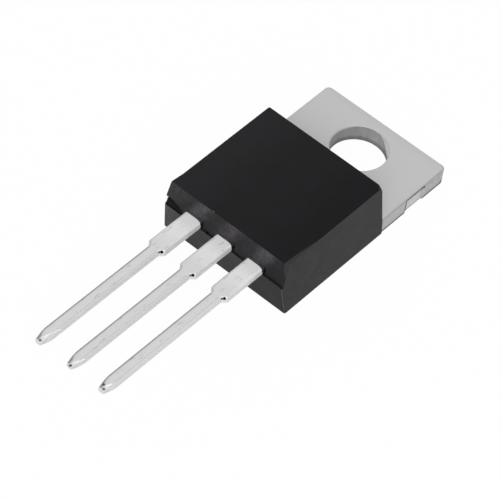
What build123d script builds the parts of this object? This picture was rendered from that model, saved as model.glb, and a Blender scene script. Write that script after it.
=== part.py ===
from build123d import *
from math import hypot, radians, tan
import os

# Power transistor in a moulded three-lead package with a metal mounting tab.
# Millimetres. X runs across the package, +Y towards the tab's end and +Z from the mounting
# face to the upper face. The origin lies in the mounting face, on the mounting hole's axis.

# Header: the thick copper plate that carries the chip and ends in the mounting tab.
header_thickness = 1.27
tab_width = 9.85
tab_end = 2.8               # from the hole's axis to the end of the tab
tab_corner_radius = 0.35
hole_radius = 1.91
tab_edge_roll = 0.14        # soft upper edge that the punch leaves
hole_edge_roll = 0.08
trim_start = -1.18          # stretch of each side where the tie bars were cut off
trim_end = 0.55
trim_depth = 0.09
trim_lip = 0.18             # metal left above the trimmed stretch
plate_front_cover = 3.0     # plastic in front of the plate, at the parting line
plate_side_cover = 0.6      # and on each side, at the plate's upper face
lock_overhang = 0.3         # the plate's upper layer stands out this far over its base
lock_height = 0.62          # thickness of the narrower base layer
groove_offset = 0.9         # resin groove, behind the shoulder of the tab
groove_width = 0.44
groove_depth = 0.2

# Leads.
lead_pitch = 2.54
lead_thickness = 0.5
lead_standoff = 2.61        # underside of the leads above the mounting face
root_width = 1.3
pin_width = 0.76
shoulder_reach = 3.31       # from the plastic to where the wide root begins to narrow
shoulder_run = 0.27
lead_reach = 13.79          # from the plastic to the tip
lead_edge_roll = 0.15
bar_scar_radius = 0.1       # pit where the dam bar broke off the slope of each shoulder
bar_scar_depth = 0.08
bar_scar_cover = 0.04       # metal left above the pit
bar_scar_share = 0.33       # share of the slope between the pin and the pit
point_length = 1.55         # coined point, steeper over its last stretch
point_end_radius = 0.24
point_bend = 0.62           # from the tip to where the steep stretch ends
point_bend_radius = 0.385
point_drop = 0.06           # the point's axis lies this far below the lead's middle

# Bonding pads of the outer leads and the cranked stretch of the middle one.
pad_width = 2.2
pad_length = 1.4
pad_shift = 0.12            # a pad lies this far outside its lead's centre line
pad_corner_radius = 0.25
pad_cover = 0.55            # plastic in front of a pad
neck_width = 2.0            # middle lead where it leaves the plate
neck_landing = 0.45         # flat stretch in front of the plate before the bend
neck_root = 1.0             # the neck starts this far back in the plate
crank_run = 1.35
crank_radius = 0.4

# Moulded body.
body_height = 4.4
body_top_width = 9.33
body_back = -3.91           # back edge of the upper face
body_top_length = 9.1
side_draft = 4.3
front_draft = 9.0
back_draft = 6.7
chin_draft = 10.8           # front face below the leads, which slopes back going down
chin_ledge = 0.12           # the chin stands out this far at the parting line
chin_shoulder_radius = 0.22 # round upper corners of the chin, seen from the front
root_gap = 0.12             # open crevice beside the right edge of each lead
root_gap_depth = 0.3
root_gap_sill = 0.14        # plastic left between the crevice and the parting line
body_corner_radius = 0.12
worn_corner_reach = 0.38    # worn upper corner at the right back, along each edge
worn_corner_ball = 1.5      # distance of the rounding ball's centre from each face
top_edge_radius = 0.06
nick_height = 0.86          # nick at the left front corner, from the parting line up
nick_rise = 0.6             # height of its deepest line
nick_depth = 0.3
nick_mouth = 0.24           # its two faces spread from there to this far in front of the face
nick_reach = 0.95           # from the side face to where the nick closes quickly
nick_close = 0.4            # length over which it closes
nick_taper = 0.55           # size left at its reach, as a share of its size at the side

# Chip, solder and bond wires.
chip_width = 4.6
chip_length = 4.2
chip_thickness = 0.2
chip_front_margin = 0.7     # plate left in front of the chip
solder_thickness = 0.06
solder_margin = 0.16
emitter_wire_diameter = 0.38
emitter_wire_spacing = 0.95
gate_wire_diameter = 0.2
wire_sides = 10             # flats that stand for a wire's round section
gate_bond_inset = 0.5       # gate bond from the chip's left and front edges
emitter_bond_inset = 1.1    # emitter bonds from the chip's front edge
emitter_bond_margin = 1.15  # middle of the two emitter bonds from the chip's right edge
pad_bond_shift = 0.25       # bonds on a pad lie this far in front of its middle
wire_foot = 0.6             # flattened stretch at each end of a wire
wire_sink = 0.7             # height of a foot's centre line, in wire radii
loop_cover = 0.54           # plastic over the centre line of a wire's top run
loop_radius = 0.34
loop_rise_end = 0.42        # share of a wire's run at which its top run starts
loop_fall_start = 0.6       # and ends

overrun = 1                 # how far cutting tools run past what they cut

lead_top = lead_standoff + lead_thickness
lead_middle = lead_standoff + lead_thickness / 2
parting_z = lead_standoff
chip_top = header_thickness + solder_thickness + chip_thickness
body_top_front = body_back - body_top_length


def front_face_y(z):
    """Front face of the plastic above the parting line."""
    return body_top_front - (body_height - z) * tan(radians(front_draft))


def back_face_y(z):
    return body_back + (body_height - z) * tan(radians(back_draft))


def side_face_x(z):
    return body_top_width / 2 + (body_height - z) * tan(radians(side_draft))


body_front = front_face_y(parting_z)
tab_shoulder_y = back_face_y(header_thickness)
header_front = body_front + plate_front_cover
header_inner_width = 2 * (side_face_x(header_thickness) - plate_side_cover)
shoulder_y = body_front - shoulder_reach
lead_tip_y = body_front - lead_reach
chip_centre_y = header_front + chip_front_margin + chip_length / 2
pad_front_y = front_face_y(lead_top) + pad_cover
pad_back_y = pad_front_y + pad_length


def block(x_low, x_high, y_low, y_high, z_low, z_high):
    """A box given by its faces."""
    centre = Pos((x_low + x_high) / 2, (y_low + y_high) / 2, (z_low + z_high) / 2)
    return centre * Box(x_high - x_low, y_high - y_low, z_high - z_low)


def lead_outline(inner_y):
    """Plan of one lead from inner_y to its tip, about its own centre line."""
    root = root_width / 2
    pin = pin_width / 2
    pin_y = shoulder_y - shoulder_run
    right = [(root, inner_y), (root, shoulder_y), (pin, pin_y), (pin, lead_tip_y)]
    left = [(-x, y) for x, y in reversed(right)]
    return make_face(Polyline(*right, *left, close=True))


def point_cutter():
    """What the coining die removes round a lead's tip: everything outside a round nose."""
    start = hypot(pin_width / 2, lead_thickness / 2 + point_drop)
    outer = start + overrun
    profile = Polyline((0, 0), (point_end_radius, 0), (point_bend_radius, point_bend), (start, point_length),
                       (outer, point_length), (outer, -overrun), (0, -overrun), close=True)
    return Pos(0, lead_tip_y, lead_middle - point_drop) * revolve(make_face(profile), Axis.Y)


def lead_blade(x, inner_y):
    """Flat part of a lead, with rolled upper edges and a coined point."""
    blade = Pos(0, 0, lead_standoff) * extrude(lead_outline(inner_y), lead_thickness)
    upper_edges = blade.faces().sort_by(Axis.Z)[-1].edges()
    blade = fillet(upper_edges.filter_by(lambda e: abs(e.tangent_at(0).X) < 0.9), lead_edge_roll)
    blade -= point_cutter()
    step = (root_width - pin_width) / 2
    scar_z = lead_top - bar_scar_cover - bar_scar_radius
    for side in (-1, 1):
        scar_x = side * (pin_width / 2 + step * bar_scar_share)
        scar_y = shoulder_y - shoulder_run * (1 - bar_scar_share)
        slope = Plane(origin=(scar_x, scar_y, scar_z), z_dir=(side * shoulder_run, -step, 0))
        blade -= slope * Cylinder(bar_scar_radius, 2 * bar_scar_depth)
    return Pos(x, 0, 0) * blade


def outer_lead(side):
    """Lead with its bonding pad: side is -1 for the gate and 1 for the emitter."""
    x = side * lead_pitch
    pad_x = x + side * pad_shift
    pad = block(pad_x - pad_width / 2, pad_x + pad_width / 2, pad_front_y, pad_back_y,
                lead_standoff, lead_top)
    pad = fillet(pad.edges().filter_by(Axis.Z), pad_corner_radius)
    return lead_blade(x, pad_front_y) + pad


def cranked_neck():
    """Middle lead inside the plastic, from the plate up to the height of the leads."""
    low = header_thickness - lead_thickness / 2
    landing_y = header_front - neck_landing
    top_y = landing_y - crank_run
    inner = Polyline((header_front, low), (landing_y, low), (top_y, lead_middle), (pad_front_y, lead_middle))
    bends = inner.vertices()[1:3]
    profile = trace(fillet(bends, crank_radius), lead_thickness)
    strip = extrude(Plane.YZ * profile, neck_width / 2, both=True)
    root = root_width / 2
    neck = neck_width / 2
    right = [(neck, header_front + neck_root), (neck, landing_y), (root, top_y), (root, pad_front_y)]
    left = [(-x, y) for x, y in reversed(right)]
    plan = make_face(Polyline(*right, *left, close=True))
    return strip & extrude(plan, body_height)


def collector_tab():
    """Copper header: mounting tab, chip plate with its mould locks, and the middle lead."""
    half = tab_width / 2
    tab = block(-half, half, tab_shoulder_y, tab_end, 0, header_thickness)
    end_corners = tab.edges().filter_by(Axis.Z).group_by(Axis.Y)[-1]
    tab = fillet(end_corners, tab_corner_radius)
    for side in (-1, 1):
        inner = side * (half - trim_depth)
        outer = side * (half + overrun)
        tab -= block(min(inner, outer), max(inner, outer), trim_start, trim_end, -overrun,
                     header_thickness - trim_lip)
    upper_edges = tab.faces().sort_by(Axis.Z)[-1].edges()
    tab = fillet(upper_edges - upper_edges.group_by(Axis.Y)[0], tab_edge_roll)
    tab -= Cylinder(hole_radius, 2 * (header_thickness + overrun))
    tab = fillet(tab.faces().sort_by(Axis.Z)[-1].inner_wires().edges(), hole_edge_roll)
    wide = header_inner_width / 2
    narrow = wide - lock_overhang
    plate = block(-wide, wide, header_front, tab_shoulder_y, lock_height, header_thickness)
    plate += block(-narrow, narrow, header_front + lock_overhang, tab_shoulder_y, 0, lock_height)
    groove_y = tab_shoulder_y - groove_offset
    groove = make_face(Polyline((groove_y - groove_width / 2, header_thickness),
                                (groove_y + groove_width / 2, header_thickness),
                                (groove_y, header_thickness - groove_depth), close=True))
    plate -= extrude(Plane.YZ * groove, header_inner_width, both=True)
    return tab + plate + cranked_neck() + lead_blade(0, pad_front_y)


def solder_layer():
    width = chip_width + 2 * solder_margin
    length = chip_length + 2 * solder_margin
    layer = block(-width / 2, width / 2, chip_centre_y - length / 2, chip_centre_y + length / 2,
                  header_thickness, header_thickness + solder_thickness)
    return fillet(layer.edges().filter_by(Axis.Z), 2 * solder_margin)


def chip():
    return block(-chip_width / 2, chip_width / 2, chip_centre_y - chip_length / 2,
                 chip_centre_y + chip_length / 2, chip_top - chip_thickness, chip_top)


def bond_wire(start, end, diameter, die, pad):
    """Round wire that loops from the chip to a pad, with its feet pressed flat on both."""
    run = hypot(end[0] - start[0], end[1] - start[1])
    sink = wire_sink * diameter / 2
    top = body_height - loop_cover
    stations = [(0, chip_top + sink), (wire_foot, chip_top + sink), (loop_rise_end * run, top),
                (loop_fall_start * run, top), (run - wire_foot, lead_top + sink), (run, lead_top + sink)]
    points = []
    for distance, height in stations:
        share = distance / run
        x = start[0] + share * (end[0] - start[0])
        y = start[1] + share * (end[1] - start[1])
        points.append((x, y, height))
    path = FilletPolyline(*points, radius=loop_radius)
    section = Plane(origin=path @ 0, z_dir=path % 0) * RegularPolygon(diameter / 2, wire_sides)
    return sweep(section, path=path) - die - pad


def nick_section(x, size):
    """Triangle in a plane of constant X: on the parting line, up the face and to the deepest line."""
    mouth = body_front - nick_mouth
    depth = front_face_y(parting_z + size * nick_rise) + size * nick_depth
    return make_face(Polyline((x, mouth, parting_z), (x, mouth, parting_z + size * nick_height),
                              (x, depth, parting_z + size * nick_rise), close=True))


def nick():
    """Wedge broken out of the left front corner, open to the front and to the left."""
    side_x = -side_face_x(parting_z)
    outer = nick_section(side_x - nick_close, 1)
    inner = nick_section(side_x + nick_reach, nick_taper)
    tip = Vertex(side_x + nick_reach + nick_close, body_front - chin_ledge, parting_z)
    return loft([outer, inner]) + loft([inner, tip])


def lead_crevice(x):
    """Narrow gap that the plastic leaves beside the upper right edge of a lead."""
    edge = x + root_width / 2
    return block(edge - lead_edge_roll, edge + root_gap, body_front - overrun, body_front + root_gap_depth,
                 parting_z + root_gap_sill, lead_top)


def plastic_section(z, front_y):
    depth = back_face_y(z) - front_y
    return Pos(0, front_y + depth / 2, z) * Rectangle(2 * side_face_x(z), depth)


def round_uprights(half):
    """Rounds the four near-vertical edges of one half of the plastic."""
    uprights = half.edges().filter_by(lambda e: abs(e.tangent_at(0.5).Z) > 0.9)
    return fillet(uprights, body_corner_radius)


def chin_shoulder_cutter(side):
    """Clears one upper corner of the chin back to the face above it, round in front view."""
    radius = chin_shoulder_radius
    corner_x = side * side_face_x(parting_z)
    centre_x = corner_x - side * radius
    centre_z = parting_z - radius
    outer_x = corner_x + side * radius
    tool = block(min(centre_x, outer_x), max(centre_x, outer_x), body_front - overrun, body_front,
                 centre_z, parting_z)
    return tool - Pos(centre_x, body_front, centre_z) * Rot(90, 0, 0) * Cylinder(radius, 3 * overrun)


def worn_corner_cutter():
    """Rounds off the upper corner at the right back, and nothing else."""
    centre = (side_face_x(body_height) - worn_corner_ball, body_back - worn_corner_ball,
              body_height - worn_corner_ball)
    ball = hypot(worn_corner_ball, worn_corner_ball, worn_corner_ball - worn_corner_reach)
    region = block(centre[0], centre[0] + ball, centre[1], centre[1] + ball, centre[2], centre[2] + ball)
    return region - Pos(*centre) * Sphere(ball)


def moulded_body(inside):
    """Plastic moulded round everything in inside, flush with the header's back."""
    upper = loft([plastic_section(parting_z, body_front), plastic_section(body_height, body_top_front)])
    upper = round_uprights(upper)
    upper = fillet(upper.faces().sort_by(Axis.Z)[-1].edges(), top_edge_radius)
    chin_top_y = body_front - chin_ledge
    chin_foot_y = chin_top_y + parting_z * tan(radians(chin_draft))
    lower = loft([plastic_section(0, chin_foot_y), plastic_section(parting_z, chin_top_y)])
    lower = round_uprights(lower)
    lower -= chin_shoulder_cutter(-1)
    lower -= chin_shoulder_cutter(1)
    width = side_face_x(0) + overrun
    lower -= block(-width, width, tab_shoulder_y, tab_end, -overrun, header_thickness)
    body = upper + lower - nick() - worn_corner_cutter()
    for x in (-lead_pitch, 0, lead_pitch):
        body -= lead_crevice(x)
    for piece in inside:
        body -= piece
    return body


def main():
    tab = collector_tab()
    gate_lead = outer_lead(-1)
    emitter_lead = outer_lead(1)
    die = chip()
    pad_y = (pad_front_y + pad_back_y) / 2 - pad_bond_shift
    chip_front = chip_centre_y - chip_length / 2
    pad_x = lead_pitch + pad_shift
    gate_start = (-chip_width / 2 + gate_bond_inset, chip_front + gate_bond_inset + wire_foot)
    gate_wire = bond_wire(gate_start, (-pad_x, pad_y), gate_wire_diameter, die, gate_lead)
    emitter_x = chip_width / 2 - emitter_bond_margin
    emitter_wires = []
    for offset in (-0.5, 0.5):
        start = (emitter_x + offset * emitter_wire_spacing, chip_front + emitter_bond_inset)
        end = (pad_x + offset * emitter_wire_spacing, pad_y)
        emitter_wires.append(bond_wire(start, end, emitter_wire_diameter, die, emitter_lead))
    parts = {
        "collector_tab": tab,
        "gate_lead": gate_lead,
        "emitter_lead": emitter_lead,
        "igbt_chip": die,
        "chip_solder": solder_layer(),
        "gate_bond_wire": gate_wire,
        "emitter_bond_wire_inner": emitter_wires[0],
        "emitter_bond_wire_outer": emitter_wires[1],
    }
    parts["moulded_body"] = moulded_body(list(parts.values()))
    os.makedirs("parts", exist_ok=True)
    for name, part in parts.items():
        export_step(part, f"parts/{name}.step")
        print(f"{name}: {part.volume:.3f} mm3, {len(part.solids())} solid")


main()
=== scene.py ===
from math import cos, hypot, radians, sin

import bmesh
import bpy
from mathutils import Matrix, Vector


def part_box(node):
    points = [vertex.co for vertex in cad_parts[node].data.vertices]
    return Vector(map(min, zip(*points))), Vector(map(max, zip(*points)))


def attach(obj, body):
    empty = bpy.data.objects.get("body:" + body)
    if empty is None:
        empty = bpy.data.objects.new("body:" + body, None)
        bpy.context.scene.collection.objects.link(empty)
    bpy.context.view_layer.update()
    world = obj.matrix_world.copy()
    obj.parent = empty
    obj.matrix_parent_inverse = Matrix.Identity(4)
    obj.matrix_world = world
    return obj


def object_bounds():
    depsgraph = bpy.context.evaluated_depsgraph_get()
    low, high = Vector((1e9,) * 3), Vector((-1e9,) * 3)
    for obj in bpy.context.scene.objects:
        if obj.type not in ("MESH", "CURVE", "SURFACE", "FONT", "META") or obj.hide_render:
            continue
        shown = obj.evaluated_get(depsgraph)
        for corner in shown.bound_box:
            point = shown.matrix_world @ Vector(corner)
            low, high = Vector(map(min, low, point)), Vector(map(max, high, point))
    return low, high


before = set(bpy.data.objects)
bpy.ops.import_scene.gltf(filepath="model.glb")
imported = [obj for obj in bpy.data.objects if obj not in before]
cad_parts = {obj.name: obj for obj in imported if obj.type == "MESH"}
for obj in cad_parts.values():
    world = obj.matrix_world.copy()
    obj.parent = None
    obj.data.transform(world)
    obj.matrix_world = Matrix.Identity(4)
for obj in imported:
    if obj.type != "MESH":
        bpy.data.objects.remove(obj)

# Looks of a power transistor: a moulded body on a copper header with three pointed leads.
# Metres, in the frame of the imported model, whose origin is on the mounting hole's axis.

mm = 0.001
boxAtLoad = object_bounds()
print("frame loaded:", len(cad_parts), "nodes")


class Value:  # a shader socket that takes part in sums
    def __init__(self, graph, socket):
        self.graph = graph
        self.socket = socket

    def maths(self, operation, *amounts):
        return self.graph.node("ShaderNodeMath", {"operation": operation}, dict(enumerate(amounts)))

    def __add__(self, other):
        return self.maths("ADD", self, other)

    def __sub__(self, other):
        return self.maths("SUBTRACT", self, other)

    def __rsub__(self, other):
        return self.maths("SUBTRACT", other, self)

    def __mul__(self, other):
        return self.maths("MULTIPLY", self, other)

    __radd__ = __add__
    __rmul__ = __mul__

    def size(self):
        return self.maths("ABSOLUTE", self)

    def least(self, other):
        return self.maths("MINIMUM", self, other)

    def most(self, other):
        return self.maths("MAXIMUM", self, other)

    def rise(self, low, high):  # 0 below low, 1 above high, and smooth between
        return self.graph.node("ShaderNodeMapRange", {"interpolation_type": "SMOOTHSTEP"},
                               {"Value": self, "From Min": low, "From Max": high})

    def fall(self, low, high):
        return 1 - self.rise(low, high)

    def band(self, low, high, soft):  # 1 from low to high, fading over soft outside them
        return self.rise(low - soft, low) * self.fall(high, high + soft)

    def shade(self, mask, left):  # what is left of a level where the mask is 1
        return self * (1 - mask * (1 - left))

    def over(self, mask, other):  # the other value where the mask is 1
        return self * (1 - mask) + mask * other


class Graph:  # the nodes of one material or of the world
    def __init__(self, owner):
        owner.use_nodes = True
        self.tree = owner.node_tree
        self.tree.nodes.clear()

    def node(self, kind, settings, sockets, output=0):
        made = self.tree.nodes.new(kind)
        for key, setting in settings.items():
            setattr(made, key, setting)
        for key, amount in sockets.items():
            if isinstance(amount, Value):
                self.tree.links.new(amount.socket, made.inputs[key])
            else:
                made.inputs[key].default_value = amount
        return Value(self, made.outputs[output]) if made.outputs else None

    def ray(self, kind):  # 1 for rays of this kind
        return self.node("ShaderNodeLightPath", {}, {}, kind)


class Finish(Graph):  # one material round a Principled shader
    def __init__(self, name):
        self.material = bpy.data.materials.new(name)
        super().__init__(self.material)

    def surface(self, sockets):
        shader = self.node("ShaderNodeBsdfPrincipled", {}, sockets)
        self.node("ShaderNodeOutputMaterial", {}, {0: shader})
        return self.material

    def place(self, stretch=(1, 1, 1)):  # object coordinates in millimetres
        where = self.node("ShaderNodeTexCoord", {}, {}, "Object")
        scale = [part / mm for part in stretch]
        return self.node("ShaderNodeVectorMath", {"operation": "MULTIPLY"}, {0: where, 1: scale})

    def axes(self, vector):
        return [self.node("ShaderNodeSeparateXYZ", {}, {0: vector}, axis) for axis in range(3)]

    def facing(self):
        return self.axes(self.node("ShaderNodeTexCoord", {}, {}, "Normal"))

    def noise(self, where, scale, detail=2.0, rough=0.5):
        return self.node("ShaderNodeTexNoise", {}, {"Vector": where, "Scale": scale, "Detail": detail,
                                                    "Roughness": rough})

    def tone(self, level):  # a number as a shade of grey
        return self.node("ShaderNodeCombineColor", {}, {0: level, 1: level, 2: level})

    def mix(self, factor, first, second, blend="MIX"):
        return self.node("ShaderNodeMix", {"data_type": "RGBA", "blend_type": blend},
                         {0: factor, 6: first, 7: second}, 2)

    def spot(self, where, centre, reach, core):  # 1 round a point, fading to 0 at reach
        gap = self.node("ShaderNodeVectorMath", {"operation": "DISTANCE"}, {0: where, 1: centre}, 1)
        return gap.fall(reach * core, reach)

    def bump(self, height, depth):
        return self.node("ShaderNodeBump", {}, {"Height": height, "Distance": depth * mm, "Strength": 1.0})


def grey(level):
    return (level, level, level, 1)


def between(limits, share):  # from the first limit to the second
    low, high = limits
    return low + (high - low) * share


# Camera and light

view = {
    "aim": (0.000554, -0.011195, 0.000872),
    "azimuth": 34.2428,     # degrees from the leads' end towards the emitter's side
    "elevation": 49.0277,
    "roll": 9.035,
    "distance": 0.204344,
    "lens": 238.406,
    "clipStart": 0.01,
}


def placeCamera():
    azimuth = radians(view["azimuth"])
    elevation = radians(view["elevation"])
    back = Vector((sin(azimuth) * cos(elevation), -cos(azimuth) * cos(elevation), sin(elevation)))
    data = bpy.data.cameras.new("camera")
    data.lens = view["lens"]
    data.clip_start = view["clipStart"]
    camera = bpy.data.objects.new("camera", data)
    turn = back.to_track_quat("Z", "Y").to_matrix() @ Matrix.Rotation(radians(view["roll"]), 3, "Z")
    camera.matrix_world = Matrix.Translation(Vector(view["aim"]) + back * view["distance"]) @ turn.to_4x4()
    bpy.context.scene.collection.objects.link(camera)
    bpy.context.scene.camera = camera


studio = {
    "lamps": [
        # name, place, size and power of each soft box, all aimed at the part
        ("keyBox", (0.34, -0.44, 0.46), 0.50, 3.6),
        ("backBox", (-0.45, 0.55, 0.60), 0.90, 0.8),
    ],
    "skyLevel": 0.62,
    "floorSize": 1.6,
    "floorGap": 0.01,       # millimetres left under the part
    "floorColour": 0.8,
    "floorWhite": 0.97,     # share of plain white in what the camera sees of the floor
}


def addLamp(name, place, size, power):
    data = bpy.data.lights.new(name, "AREA")
    data.shape = "DISK"
    data.size = size
    data.energy = power
    lamp = bpy.data.objects.new(name, data)
    away = Vector(place)
    lamp.matrix_world = Matrix.Translation(away) @ away.to_track_quat("Z", "Y").to_matrix().to_4x4()
    bpy.context.scene.collection.objects.link(lamp)


def layFloor():
    half = studio["floorSize"] / 2
    corners = [(-half, -half, 0), (half, -half, 0), (half, half, 0), (-half, half, 0)]
    mesh = bpy.data.meshes.new("floor")
    mesh.from_pydata(corners, [], [(0, 1, 2, 3)])
    floor = bpy.data.objects.new("floor", mesh)
    floor.location.z = boxAtLoad[0][2] - studio["floorGap"] * mm
    bpy.context.scene.collection.objects.link(floor)
    paper = Finish("floorPaper")
    seen = paper.ray("Is Camera Ray")
    for kind in ("Is Glossy Ray", "Is Transmission Ray"):
        seen = (seen + paper.ray(kind)).least(1)
    matt = paper.node("ShaderNodeBsdfDiffuse", {}, {"Color": grey(studio["floorColour"])})
    white = paper.node("ShaderNodeEmission", {}, {})
    both = paper.node("ShaderNodeMixShader", {}, {0: seen * studio["floorWhite"], 1: matt, 2: white})
    paper.node("ShaderNodeOutputMaterial", {}, {0: both})
    mesh.materials.append(paper.material)


def lightRoom():
    world = bpy.data.worlds.new("studio")
    bpy.context.scene.world = world
    room = Graph(world)
    sky = room.node("ShaderNodeBackground", {}, {"Color": grey(1), "Strength": studio["skyLevel"]})
    white = room.node("ShaderNodeBackground", {}, {"Color": grey(1)})
    both = room.node("ShaderNodeMixShader", {}, {0: room.ray("Is Camera Ray"), 1: sky, 2: white})
    room.node("ShaderNodeOutputWorld", {}, {0: both})
    for lamp in studio["lamps"]:
        addLamp(*lamp)


placeCamera()
layFloor()
lightRoom()
bpy.context.scene.view_settings.view_transform = "Standard"
print("camera, floor and lamps are in place")

# Sizes that the finishes and the resin pieces go by, in millimetres

bodyLow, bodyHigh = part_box("moulded_body")
leadLow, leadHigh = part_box("gate_lead")
package = {
    "leadCentres": (-2.54, 0.0, 2.54),
    "leadTop": leadHigh[2] / mm,
    "leadFoot": leadLow[2] / mm,        # underside of the leads, where the two mould halves meet
    "leadTip": leadLow[1] / mm,
    "rootHalf": 0.65,                   # half widths of a lead's root and of its pin
    "pinHalf": 0.38,
    "rootLength": 3.31,                 # from the plastic to the shoulder
    "shoulderLength": 0.38,             # and from there to the straight pin
    "chinFront": bodyLow[1] / mm,
    "chinLedge": 0.12,
    "frontSlope": 0.1584,               # the front face leans back this much for each millimetre up
    "sideSlope": 0.0752,
    "bodyTop": bodyHigh[2] / mm,
    "bodyBack": -3.91,
    "bodyHalf": 4.665,                  # half width of the upper face
    "tabHalf": 4.925,
    "tabTop": 1.27,
    "tabEnd": 2.8,
    "holeRadius": 1.91,
}
package["faceFoot"] = package["chinFront"] + package["chinLedge"]   # front face at the parting line
package["shoulder"] = package["faceFoot"] - package["rootLength"]
package["pinStart"] = package["shoulder"] - package["shoulderLength"]


# Leads: tin plating with drawing streaks and dashes, painted shade and highlights, and dark specks on the
# points

tinLook = {
    "base": (0.72, 0.79),
    "metallic": 0.28,
    "roughness": (0.46, 0.60),
    "streaks": ((1, 0.10, 1), 8),       # stretch and scale of the drawing streaks
    "cloudScale": 1.6,
    "pinShade": 0.84,       # what is left of the colour on the pins
    "pinFade": 2.2,
    "sideShade": 0.90,      # painted shade on the cut sides
    "pinSide": 0.6,         # how much weaker that is on the pins
    "leftShade": 0.88,      # painted shade on the rolled left edge of a root
    "pinLeftShade": 0.64,   # and of a pin
    "rootGlow": 1.16,       # painted light next to the plastic
    "rootFade": 0.75,
    "seamShade": 0.88,      # painted shade on the line along the right edge of a pin
    "seam": (0.13, 0.08),   # that line, in from the edge
    "dashShade": 0.80,
    "dashes": ((2.2, 0.55, 1), 3.1),    # stretch and scale
    "edgeShade": 0.72,      # painted shade towards the left edge of a pin
    "edgeWidth": 0.28,
    "pointLength": 1.1,     # stretch in which that edge comes in, and how far
    "pointInset": 0.23,
    # on each point, from left to right: ends of the painted highlight line, across and up from the tip,
    # then the dark specks, across and up, with their reach
    "points": (
        ((0.13, 0.39), (0.40, 1.41), ((0.14, 0.0, 0.15),)),
        ((0.25, 0.27), (0.39, 0.81), ((0.135, -0.16, 0.15), (0.16, -0.08, 0.12))),
        ((0.14, 0.33), (0.22, 0.60), ((-0.06, 0.25, 0.14), (0.167, 0.0, 0.15))),
    ),
    "markLean": (0.49, -0.72),          # shift of those marks for each millimetre down the point
    # brightness of the painted highlight line
    "lineGlow": 1.45,
    "lineHalf": 0.02,
    "speckShade": 0.15,
    # pits on the right shoulders, which get painted shade
    "pit": (0.33, 0.18, 0.14),          # share of the slope, past the shoulder and below the top
    "pitReach": 0.10,
    "pitStretch": 0.05,     # half the length of a pit, slantwise over the shoulder
    "pitDeep": 0.08,        # its deepest part lies this much further back
    # painted shade in the crevice beside a root
    "creviceShade": 0.03,
    "grain": 0.002,
}


def pointMarks(finish, where, lead, level):  # painted highlight line and dark specks on one point
    x, y, z = finish.axes(where)
    centre = package["leadCentres"][lead]
    drop = package["leadTop"] - z
    leanX, leanY = tinLook["markLean"]
    plan = finish.node("ShaderNodeCombineXYZ", {}, {0: x + drop * leanX, 1: y + drop * leanY})
    alongX, alongY = finish.axes(plan)[:2]
    alongY = alongY - package["leadTip"]
    (startX, startY), (endX, endY), specks = tinLook["points"][lead]
    slope = (endX - startX) / (endY - startY)
    foot = startX - startY * slope
    half = tinLook["lineHalf"]
    line = (alongX - centre - alongY * slope).band(foot - half, foot + half, 0.03)
    level = level.shade(line * alongY.band(startY, endY, 0.1), tinLook["lineGlow"])
    for speckX, speckY, reach in specks:
        speck = finish.spot(plan, (centre + speckX, package["leadTip"] + speckY, 0), reach, 0.3)
        level = level.shade(speck, tinLook["speckShade"])
    return level


def shoulderPit(finish, where, centre):  # mask of the pit on the right shoulder, which gets painted shade
    share, past, below = tinLook["pit"]
    pitX = centre + package["pinHalf"] + (package["rootHalf"] - package["pinHalf"]) * share
    pit = 0
    for side, deeper in ((-1, 0), (0, tinLook["pitDeep"]), (1, 0)):
        shift = side * tinLook["pitStretch"]
        place = (pitX + shift, package["shoulder"] - past + shift + deeper, package["leadTop"] - below)
        pit = finish.spot(where, place, tinLook["pitReach"] + deeper * 0.3, 0.85).most(pit)
    return pit


def tinSurface(finish, where, facing, lead):  # one lead: 0, 1 or 2 from left to right
    x, y, z = finish.axes(where)
    centre = package["leadCentres"][lead]
    across = x - centre
    stretch, scale = tinLook["streaks"]
    streak = finish.noise(finish.place(stretch), scale, 3)
    cloud = finish.noise(where, tinLook["cloudScale"], 3)
    level = between(tinLook["base"], streak * 0.5 + cloud * 0.5)
    onPin = y.fall(package["shoulder"], package["shoulder"] + tinLook["pinFade"])
    narrow = y.fall(package["pinStart"] - 0.10, package["pinStart"])
    level = level.shade(onPin, tinLook["pinShade"])
    # painted shade on the cut sides, weaker on the pins
    side = facing[0].size().rise(0.80, 0.95) * (1 - onPin * tinLook["pinSide"])
    level = level.shade(side, tinLook["sideShade"])
    # painted shade on the rolled left edge
    rolledLeft = facing[0].band(-0.78, -0.12, 0.10)
    level = level.shade(rolledLeft, between((tinLook["leftShade"], tinLook["pinLeftShade"]), narrow))
    # painted light on the tin next to the plastic
    atRoot = y.rise(package["faceFoot"] - tinLook["rootFade"], package["faceFoot"])
    level = level.shade(atRoot, tinLook["rootGlow"])
    # painted shade along the right edge of a pin, between its top and side
    outer, inner = tinLook["seam"]
    seam = across.band(package["pinHalf"] - outer, package["pinHalf"] - inner, 0.02) * narrow
    level = level.shade(seam, tinLook["seamShade"])
    stretch, scale = tinLook["dashes"]
    dash = finish.noise(finish.place(stretch), scale, 1).rise(0.64, 0.72)
    level = level.shade(dash * facing[2].rise(0.8, 0.95), tinLook["dashShade"])
    # painted shade towards the left edge of a pin, coming in along the point
    inset = (y - package["leadTip"]).fall(0, tinLook["pointLength"]) * tinLook["pointInset"]
    edge = (across - (inset - package["pinHalf"])).fall(0, tinLook["edgeWidth"])
    level = level.shade(edge * narrow * facing[2].rise(0.1, 0.5), tinLook["edgeShade"])
    level = pointMarks(finish, where, lead, level)
    pit = shoulderPit(finish, where, centre)
    innerFace = package["faceFoot"] - package["leadFoot"] * package["frontSlope"]
    # painted shade in the pits, and in the crevice beside the root, which lies behind the front face
    crevice = (y - z * package["frontSlope"]).rise(innerFace - 0.01, innerFace + 0.01)
    level = level * (1 - pit.most(crevice * (1 - tinLook["creviceShade"])))
    rough = between(tinLook["roughness"], streak) + pit + crevice
    return level, rough, streak


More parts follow.
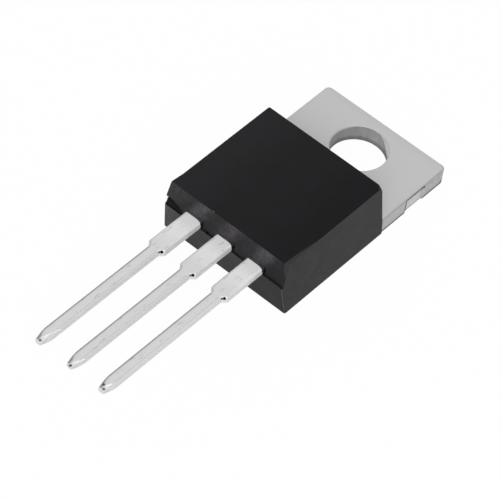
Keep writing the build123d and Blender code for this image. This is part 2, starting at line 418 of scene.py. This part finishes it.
def leadPlating(lead):
    finish = Finish("lead_plating")
    level, rough, streak = tinSurface(finish, finish.place(), finish.facing(), lead)
    return finish.surface({"Base Color": finish.tone(level), "Roughness": rough,
                           "Metallic": tinLook["metallic"],
                           "Normal": finish.bump(streak, tinLook["grain"])})


# Header: duller plating on the tab, with painted shade on its cut sides, edges and the wall of the punched
# hole

tabLook = {
    "base": (0.525, 0.555),
    "metallic": 0.45,
    "roughness": (0.42, 0.54),
    "leadEnd": (0.35, 0.5),     # behind the front face, where the middle lead's tin ends
    "farShade": 0.95,           # what is left of the colour at the far end
    "sideShade": 0.72,          # painted shade on the cut sides of the tab
    "trimShade": 0.93,          # stretch where the tie bars were cut off
    "trimStretch": (-1.18, 0.55),
    "trimTop": 1.09,
    "lineShade": 0.16,          # painted shadow lines round that stretch and along the lower edge, and a dark burr
    "cornerShade": 0.65,        # painted shade where the side turns into the far end
    "rolledShade": 0.78,        # painted shade on the rolled upper edges
    "burr": ((0.05, 0.2, 0.1), 0.42),   # in from the corner at the lower far end, and its reach
    "sideBlotch": (0.84, 1.16),
    "wallShade": 0.70,          # painted shade on the wall of the hole, and its darker torn lower band
    # painted shade on the left part of the wall
    "wallLeft": 0.76,
    "tornShade": 0.44,
    "tornHeight": 0.40,
    "scoring": (0.80, 1.20),
    "rimSide": (0.94, 0.34),    # direction in which the rim of the hole is rolled in
    "rimDepth": 0.90,
    "rimLeft": 0.25,
    # painted highlight on the rolled-in rim
    "rimGlow": 0.5,
    "shadowShade": 0.94,        # under the rim at the back
    "grain": 0.01,
}


def tabSide(finish, where, facing, blotch, level):  # painted shade on the cut sides, with the trimmed stretch and its painted shadow lines
    x, y, z = finish.axes(where)
    onTab = y.rise(package["bodyBack"] - 0.5, package["bodyBack"] - 0.4)
    start, end = tabLook["trimStretch"]
    trimmed = y.band(start, end, 0.04) * z.fall(tabLook["trimTop"], tabLook["trimTop"] + 0.03)
    sideLevel = between((tabLook["sideShade"], tabLook["trimShade"]), trimmed)
    sideLevel = sideLevel * between(tabLook["sideBlotch"], blotch)
    farEnd = y.rise(end + 0.15, end + 0.4)
    patches = finish.noise(where, 2.6, 2).rise(0.45, 0.62) * farEnd
    sideLevel = sideLevel * (1 - farEnd * (0.12 - patches * 0.18))
    # painted shade where the side turns into the far end, and on the cut sides
    corner = facing[1].rise(0.15, 0.6) * x.rise(4.3, 4.5) * onTab
    level = level.shade(corner, tabLook["cornerShade"])
    side = facing[0].size().rise(0.75, 0.95) * onTab * x.size().rise(4.4, 4.6)
    level = level.over(side, level * sideLevel)
    # painted shadow lines at the near end of the trimmed stretch, under its top and along the lower edge, and
    # a dark burr
    startLine = y.band(start - 0.07, start + 0.20, 0.03) * z.fall(1.12, 1.20) * 0.85
    topLine = y.band(start + 0.05, end + 0.1, 0.06) * (z + blotch * 0.06).band(1.04, 1.20, 0.05)
    footLine = (z + blotch * 0.10).fall(0.17, 0.28) * (1 - trimmed * 0.75)
    (inX, inY, burrZ), reach = tabLook["burr"]
    burr = finish.spot(where, (package["tabHalf"] - inX, package["tabEnd"] - inY, burrZ), reach, 0.5)
    onEdge = onTab * x.size().rise(4.7, 4.75) * facing[2].fall(0.6, 0.9)
    line = startLine.most(topLine).most(footLine).most(burr) * onEdge
    level = level.shade(line, tabLook["lineShade"])
    return level, onTab


def holeWall(finish, where, blotch):  # painted shade on the wall of the hole, with its torn band, and a painted highlight on the rolled rim
    x, y, z = finish.axes(where)
    scores = finish.noise(finish.place((1, 1, 0.12)), 5, 3)
    torn = (z + scores * 0.16).fall(tabLook["tornHeight"] - 0.08, tabLook["tornHeight"] + 0.12)
    level = between((tabLook["wallShade"], tabLook["tornShade"]), torn) * between(tabLook["scoring"], scores)
    level = level.shade(x.fall(-1.5, 0.2), tabLook["wallLeft"])
    shadow = z.rise(0.75, 1.15) * (x + y * 1.2).band(1.3, 2.6, 0.5)
    level = level.shade(shadow, tabLook["shadowShade"])
    across, along = tabLook["rimSide"]
    rolledIn = (x * across + y * along).rise(0.6, 1.8)
    inwards = rolledIn * tabLook["rimDepth"] + x.fall(-1.9, -0.9) * tabLook["rimLeft"]
    # painted highlight on the rolled-in rim of the hole
    lip = (z + inwards + blotch * 0.08).rise(package["tabTop"] + 0.05, package["tabTop"] + 0.19)
    return level.over(lip, 1 + rolledIn * tabLook["rimGlow"]), torn


def tabPlating():
    finish = Finish("tab_plating")
    where = finish.place()
    y = finish.axes(where)[1]
    facing = finish.facing()
    cloud = finish.noise(where, 1.1, 3)
    grain = finish.noise(where, 22, 3)
    blotch = finish.noise(where, 3.4, 3, 0.6)
    level = between(tabLook["base"], cloud).shade(y.rise(1.9, package["tabEnd"]), tabLook["farShade"])
    level, onTab = tabSide(finish, where, facing, blotch, level)
    flat = finish.node("ShaderNodeVectorMath", {"operation": "MULTIPLY"}, {0: where, 1: (1, 1, 0)})
    radius = finish.node("ShaderNodeVectorMath", {"operation": "LENGTH"}, {0: flat}, 1)
    # painted shade on the rolled upper edges of the tab
    rolled = facing[2].band(0.25, 0.85, 0.10) * onTab * radius.rise(2.4, 2.5)
    level = level.shade(rolled, tabLook["rolledShade"])
    wall = radius.fall(package["holeRadius"] + 0.01, package["holeRadius"] + 0.06)
    wall = wall * facing[2].size().fall(0.5, 0.9)
    wallLevel, torn = holeWall(finish, where, blotch)
    # painted shade on the wall of the hole
    level = level.over(wall, level * wallLevel)
    isLead = (y - package["faceFoot"]).fall(*tabLook["leadEnd"])
    leadLevel, leadRough = tinSurface(finish, where, facing, 1)[:2]
    level = level.over(isLead, leadLevel)
    rough = between(tabLook["roughness"], cloud).over(isLead, leadRough) + wall * 0.2
    metallic = between((tabLook["metallic"], tinLook["metallic"]), isLead)
    return finish.surface({"Base Color": finish.tone(level), "Roughness": rough, "Metallic": metallic,
                           "Normal": finish.bump(grain * (1 + torn * wall * 5), tabLook["grain"])})


# Body: moulding compound, smudged over the leads, with painted light and shade on its faces, edges, gaps and
# nick

resinLook = {
    "top": (0.0056, 0.0042, 0.0064, 1),
    "topDrift": (0.0052, 0.0050, 0.0056, 1),
    "topLeft": 0.0042,      # added towards the left edge and taken away towards the right one
    "topRight": 0.0028,
    # the sides, back, front and chin get more level than the top: painted light by which way each face looks
    "side": 0.0136,
    "sideFront": 0.0108,
    "front": 0.0095,
    "frontTop": 0.003,      # added along the top of the front face
    "frontFoot": 0.6,       # what is left of it in the painted shadow along the foot
    "chin": 0.0165,
    "chinRight": 0.001,
    "chinLeft": 0.048,
    # painted highlight on the rounded upright edges of the chin
    "edge": 0.055,
    "shelf": 0.010,
    # painted light added on the creep beads
    "beadGlow": 0.016,
    "roughness": (0.50, 0.64),
    "specular": 0.16,
    "mottleScale": 5,
    "mottleLevel": (0.70, 1.30),
    "driftScale": 0.8,
    "grainScale": 26,
    "grainDepth": 0.008,
    "worn": 0.023,          # painted light along the upright edge at the right front
    "wornWidth": 0.25,
    # smudges on the upper front face: place along the width, reach and strength
    "smudges": ((-2.35, 0.95, 0.034), (0.12, 1.0, 0.028), (2.72, 0.95, 0.034), (-4.5, 1.2, 0.009),
                (4.4, 1.4, -0.006)),
    "smudgeLean": 0.50,     # how far a smudge leans to the right for each millimetre up
    "smudgeMiddle": 3.5,    # height at which it has its place
    "smudgeTint": (0.003, 0.0, 0.004, 1),
    "smudgeFull": 0.036,    # strength at which the tint is full
    "fleck": (-1.30, 0.284, 0.09, 0.05),    # along the width, behind the front face, reach and level
    "nickGrey": (0.90, 0.70),               # how dark the broken face of the nick is, partly painted shade, and how mottled
    "darkest": 0.0012,
}


def smudges(finish, where):
    x, y, z = finish.axes(where)
    sway = finish.noise(where, 0.9, 2) * 0.7 - 0.35
    sway = x + sway - (z - resinLook["smudgeMiddle"]) * resinLook["smudgeLean"]
    smear = 0
    for place, reach, strength in resinLook["smudges"]:
        smear = (sway - place).size().fall(0, reach) * strength + smear
    return smear * (0.65 + finish.noise(where, 1.7, 3) * 0.9)


def brokenFace(mottle, depth, axes):  # faces of the nick at the left front corner
    x, y, z = axes
    parting = package["leadFoot"]
    broken = depth.rise(0.02, 0.06).most((z + x * 0.25 + mottle * 0.1).fall(2.05, 2.15))
    broken = broken * x.fall(-3.55, -3.35) * z.band(parting - 0.005, parting + 0.95, 0.03)
    return broken * y.fall(package["faceFoot"] + 0.52, package["faceFoot"] + 0.58)


def gapShade(finish, where):  # painted shade beside the roots of the leads, and one dark speck on the ledge
    shade = 0
    for centre in package["leadCentres"]:
        beside = centre + package["rootHalf"] + 0.07
        for drop in (0.10, 0.25, 0.40):
            place = (beside, package["faceFoot"] + 0.03, package["leadTop"] - drop)
            shade = finish.spot(where, place, 0.10, 0.6) + shade
    return finish.spot(where, (-1.32, package["faceFoot"] - 0.02, package["leadFoot"]), 0.14, 0.5) + shade


def wornEdge(axes):  # painted light along the upright edge at the right front, widest at the top
    x, y, z = axes
    sideX = package["bodyHalf"] + (package["bodyTop"] - z) * package["sideSlope"]
    width = (z - package["leadFoot"]).rise(0.3, 1.8) * resinLook["wornWidth"]
    width = width * y.fall(package["faceFoot"] + 0.3, package["faceFoot"] + 4) - 0.03
    return (x - sideX + width).rise(-0.03, 0.03) * y.fall(-10.5, -10)


def moulding():
    finish = Finish("moulding")
    where = finish.place()
    axes = finish.axes(where)
    x, y, z = axes
    facing = finish.facing()
    parting = package["leadFoot"]
    mottle = finish.noise(where, resinLook["mottleScale"], 4).rise(0.30, 0.70)
    drift = finish.noise(where, resinLook["driftScale"], 3)
    grain = finish.noise(where, resinLook["grainScale"], 3)
    above = z.rise(parting - 0.01, parting + 0.03)
    depth = y - (package["faceFoot"] + (z - parting) * package["frontSlope"])   # behind the front face
    bead = depth.fall(-0.012, -0.006) * above       # what stands out in front of that face
    front = facing[1].fall(-0.92, -0.72).most(bead)
    right = facing[0].size().rise(0.72, 0.92) * (1 - bead)
    back = facing[1].rise(0.72, 0.92)
    # painted light on the sides and back
    level = between((resinLook["side"], resinLook["sideFront"]), y.fall(-13, -5)) * (right + back).least(1)
    slant = x.fall(-4.2, -0.5) * resinLook["topLeft"] - x.rise(0.5, 4.2) * resinLook["topRight"]
    level = level + slant * facing[2]
    smear = smudges(finish, where)
    high = z.rise(parting + 0.4, package["bodyTop"] - 0.2)
    # painted light on the front face and on the chin
    upper = resinLook["front"] + high * resinLook["frontTop"] + smear * (0.85 + 0.15 * high)
    # painted shadow along the foot of the front face
    upper = upper.shade(z.fall(parting + 0.02, parting + 0.22), resinLook["frontFoot"])
    chin = between((resinLook["chin"], resinLook["chinLeft"]), x.fall(-4.4, -3.0))
    chin = chin + (resinLook["chinRight"] - resinLook["chin"]) * x.rise(1.6, 2.6)
    level = level + front * (upper * above + chin * (1 - above))
    # painted highlight on the rounded upright edges of the chin
    corner = facing[0].band(0.45, 0.80, 0.15) * facing[1].fall(-0.75, -0.40) * (1 - above)
    level = (level + corner * resinLook["edge"]) * between(resinLook["mottleLevel"], mottle)
    shelf = facing[2].rise(0.6, 0.8) * z.band(parting - 0.02, parting + 0.02, 0.01)
    level = level + shelf * resinLook["shelf"]
    fleckX, fleckY, fleckReach, fleckLevel = resinLook["fleck"]
    fleck = finish.spot(where, (fleckX, package["faceFoot"] + fleckY, package["bodyTop"]), fleckReach, 0.3)
    level = level + fleck * fleckLevel
    # painted light on the top and front next to the right side
    level = level.over(wornEdge(axes) * above * (1 - right), resinLook["worn"])
    # the broken face of the nick is darker: partly painted shade, mottled like a fracture
    broken = brokenFace(mottle, depth, axes)
    nickDark, nickMottle = resinLook["nickGrey"]
    level = level * (1 - broken * (nickDark - mottle * nickMottle))
    # painted shadow line along the ledge
    ledge = shelf * y.rise(package["faceFoot"] - 0.09, package["faceFoot"] - 0.04)
    ledge = ledge * (0.25 + mottle * 0.7) * (1 - x.rise(3.0, 3.6) * 0.6)
    shade = (gapShade(finish, where) + ledge).least(1)
    # painted light on the creep beads, then the painted shade over all
    level = (level + bead * x.size().fall(3.6, 3.8) * resinLook["beadGlow"]) * (1 - shade * 0.95)
    colour = finish.mix(drift.rise(0.4, 0.6), resinLook["top"], resinLook["topDrift"])
    colour = finish.mix(1.0, colour, finish.tone(level), "ADD")
    tint = (smear * front * above).most(0) * (1 / resinLook["smudgeFull"])
    colour = finish.mix(tint, colour, resinLook["smudgeTint"], "ADD")
    # painted shade: near black in the gaps, along the ledge and partly in the nick
    colour = finish.mix(shade.most(broken * 0.4), colour, grey(resinLook["darkest"]))
    rough = between(resinLook["roughness"], drift) + shade * 0.3 + broken * 0.3
    return finish.surface({"Base Color": colour, "Roughness": rough,
                           "Specular IOR Level": resinLook["specular"],
                           "Normal": finish.bump(grain, resinLook["grainDepth"])})


# Pieces inside the body

chipLook = {
    "metal": grey(0.55),
    "border": (0.06, 0.07, 0.09, 1),        # bare silicon round the metallised field
    "fieldHalf": 2.12,
    "metallic": 0.2,
    "roughness": (0.25, 0.35),
}


def siliconDie():
    finish = Finish("silicon")
    where = finish.place()
    border = finish.axes(where)[0].size().rise(chipLook["fieldHalf"], chipLook["fieldHalf"] + 0.06)
    return finish.surface({"Base Color": finish.mix(border, chipLook["metal"], chipLook["border"]),
                           "Roughness": between(chipLook["roughness"], finish.noise(where, 2, 2)),
                           "Metallic": chipLook["metallic"]})


solderLook = {
    "base": (grey(0.28), grey(0.40)),
    "metallic": 0.7,
    "roughness": (0.35, 0.55),
    "lumpDepth": 0.02,
}


def solderJoint():
    finish = Finish("solder")
    lumps = finish.noise(finish.place(), 6, 3)
    return finish.surface({"Base Color": finish.mix(lumps, *solderLook["base"]),
                           "Roughness": between(solderLook["roughness"], lumps),
                           "Metallic": solderLook["metallic"],
                           "Normal": finish.bump(lumps, solderLook["lumpDepth"])})


wireLook = {
    "base": (grey(0.72), grey(0.80)),
    "metallic": 0.9,
    "roughness": (0.28, 0.40),
}


def bondWire():
    finish = Finish("bond_wire")
    drawn = finish.noise(finish.place((1, 0.2, 1)), 12, 2)
    return finish.surface({"Base Color": finish.mix(drawn, *wireLook["base"]),
                           "Roughness": between(wireLook["roughness"], drawn),
                           "Metallic": wireLook["metallic"]})


# Resin pieces: what crept over the roots of the leads, and the flash at one corner

smoothAngle = 40    # degrees, above which an edge of a resin piece is sharp


def resinPiece(name, rings, material):  # skins a row of rings, given in millimetres, into one closed piece
    mesh = bmesh.new()
    rows = [[mesh.verts.new(Vector(place) * mm) for place in ring] for ring in rings]
    count = len(rows[0])
    for first, second in zip(rows, rows[1:]):
        for corner in range(count):
            after = (corner + 1) % count
            mesh.faces.new((first[corner], first[after], second[after], second[corner]))
    mesh.faces.new(rows[0])
    mesh.faces.new(reversed(rows[-1]))
    bmesh.ops.recalc_face_normals(mesh, faces=mesh.faces)
    data = bpy.data.meshes.new(name)
    mesh.to_mesh(data)
    mesh.free()
    data.materials.append(material)
    data.shade_smooth()
    data.set_sharp_from_angle(angle=radians(smoothAngle))
    piece = bpy.data.objects.new(name, data)
    bpy.context.scene.collection.objects.link(piece)
    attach(piece, "root")


creep = {
    "reach": {                          # out from the front face, over the top of each lead
        "gate_root_creep": 0.088,
        "collector_root_creep": 0.070,
        "emitter_root_creep": 0.155,
    },
    "corner": (0.03, 0.10),             # the upper right corner, in from the root's edge and down
    "cornerReach": 0.070,               # added at that corner
    "cornerSpread": 0.36,
    "sideDrop": 0.30,                   # and taken away for each millimetre down the side
    "leastReach": 0.02,
    "lift": 0.025,                      # thickness on the lead
    "sink": 0.01,                       # how far the bead reaches into the lead and the plastic
    "footGap": 0.02,                    # from the underside of the lead
    "roll": 0.15,
    "rollSteps": 8,
    "sideSteps": 4,
    "topSteps": 5,                      # on each half of the top
}


def rootOutline():  # points round a lead's section, from foot to foot, each with its outward direction
    half = package["rootHalf"]
    roll = creep["roll"]
    foot = package["leadFoot"] + creep["footGap"]
    top = package["leadTop"]
    sideSteps = creep["sideSteps"]
    topSteps = creep["topSteps"]
    right = [(half, foot + (top - roll - foot) * step / sideSteps, 1, 0) for step in range(sideSteps)]
    for step in range(creep["rollSteps"] + 1):
        angle = radians(90) * step / creep["rollSteps"]
        outX, outZ = cos(angle), sin(angle)
        right.append((half - roll + roll * outX, top - roll + roll * outZ, outX, outZ))
    level = [((half - roll) * step / topSteps, top, 0, 1) for step in range(topSteps - 1, -topSteps, -1)]
    left = [(-across, height, -outX, outZ) for across, height, outX, outZ in reversed(right)]
    return right + level + left


def rootCreep(name, centre, overTop, material):
    rings = []
    inX, down = creep["corner"]
    cornerX = package["rootHalf"] - inX
    cornerZ = package["leadTop"] - down
    lift = creep["lift"]
    sink = creep["sink"]
    for across, height, outX, outZ in rootOutline():
        faceY = package["faceFoot"] + (height - package["leadFoot"]) * package["frontSlope"]
        near = max(0, 1 - hypot(across - cornerX, height - cornerZ) / creep["cornerSpread"])
        near = near * near * (3 - 2 * near)
        drop = max(0, package["leadTop"] - creep["roll"] - height) * creep["sideDrop"]
        reach = max(creep["leastReach"], overTop + creep["cornerReach"] * near - drop)
        section = [(faceY + 3 * sink, -sink), (faceY - reach, -sink), (faceY - reach * 0.94, lift * 0.5),
                   (faceY - reach * 0.6, lift), (faceY + 3 * sink, lift * 1.2)]
        rings.append([(centre + across + outX * out, along, height + outZ * out) for along, out in section])
    resinPiece(name, rings, material)


flash = {
    "heights": (3.17, 3.23, 3.36, 3.54, 3.72, 3.90, 4.08, 4.26, 4.394),
    "reach": (0.045, 0.075, 0.080, 0.070, 0.075, 0.064, 0.070, 0.060, 0.055),   # out from the corner
    "spread": 0.35,     # along the front face
    "sideSpread": 0.95,
    "sink": 0.02,
}


def cornerFlash(name, material):
    rings = []
    sink = flash["sink"]
    spread = flash["spread"]
    sideSpread = flash["sideSpread"]
    for height, reach in zip(flash["heights"], flash["reach"]):
        cornerX = -package["bodyHalf"] - (package["bodyTop"] - height) * package["sideSlope"]
        cornerY = package["faceFoot"] + (height - package["leadFoot"]) * package["frontSlope"]
        ring = [(spread, sink), (spread * 0.5, -reach * 0.35), (-reach * 0.4, -reach), (-reach, -reach * 0.4),
                (-reach * 0.45, sideSpread * 0.5), (sink, sideSpread)]
        rings.append([(cornerX + across, cornerY + along, height) for across, along in ring])
    resinPiece(name, rings, material)


resin = moulding()
wire = bondWire()
finishes = {
    "collector_tab": tabPlating(),
    "gate_lead": leadPlating(0),
    "emitter_lead": leadPlating(2),
    "moulded_body": resin,
    "igbt_chip": siliconDie(),
    "chip_solder": solderJoint(),
    "gate_bond_wire": wire,
    "emitter_bond_wire_inner": wire,
    "emitter_bond_wire_outer": wire,
}
for node, material in finishes.items():
    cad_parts[node].material_slots[0].material = material
print("finishes are on")

for (name, overTop), centre in zip(creep["reach"].items(), package["leadCentres"]):
    rootCreep(name, centre, overTop, resin)
cornerFlash("corner_flash", resin)
print("resin at the lead roots and the corner is made")
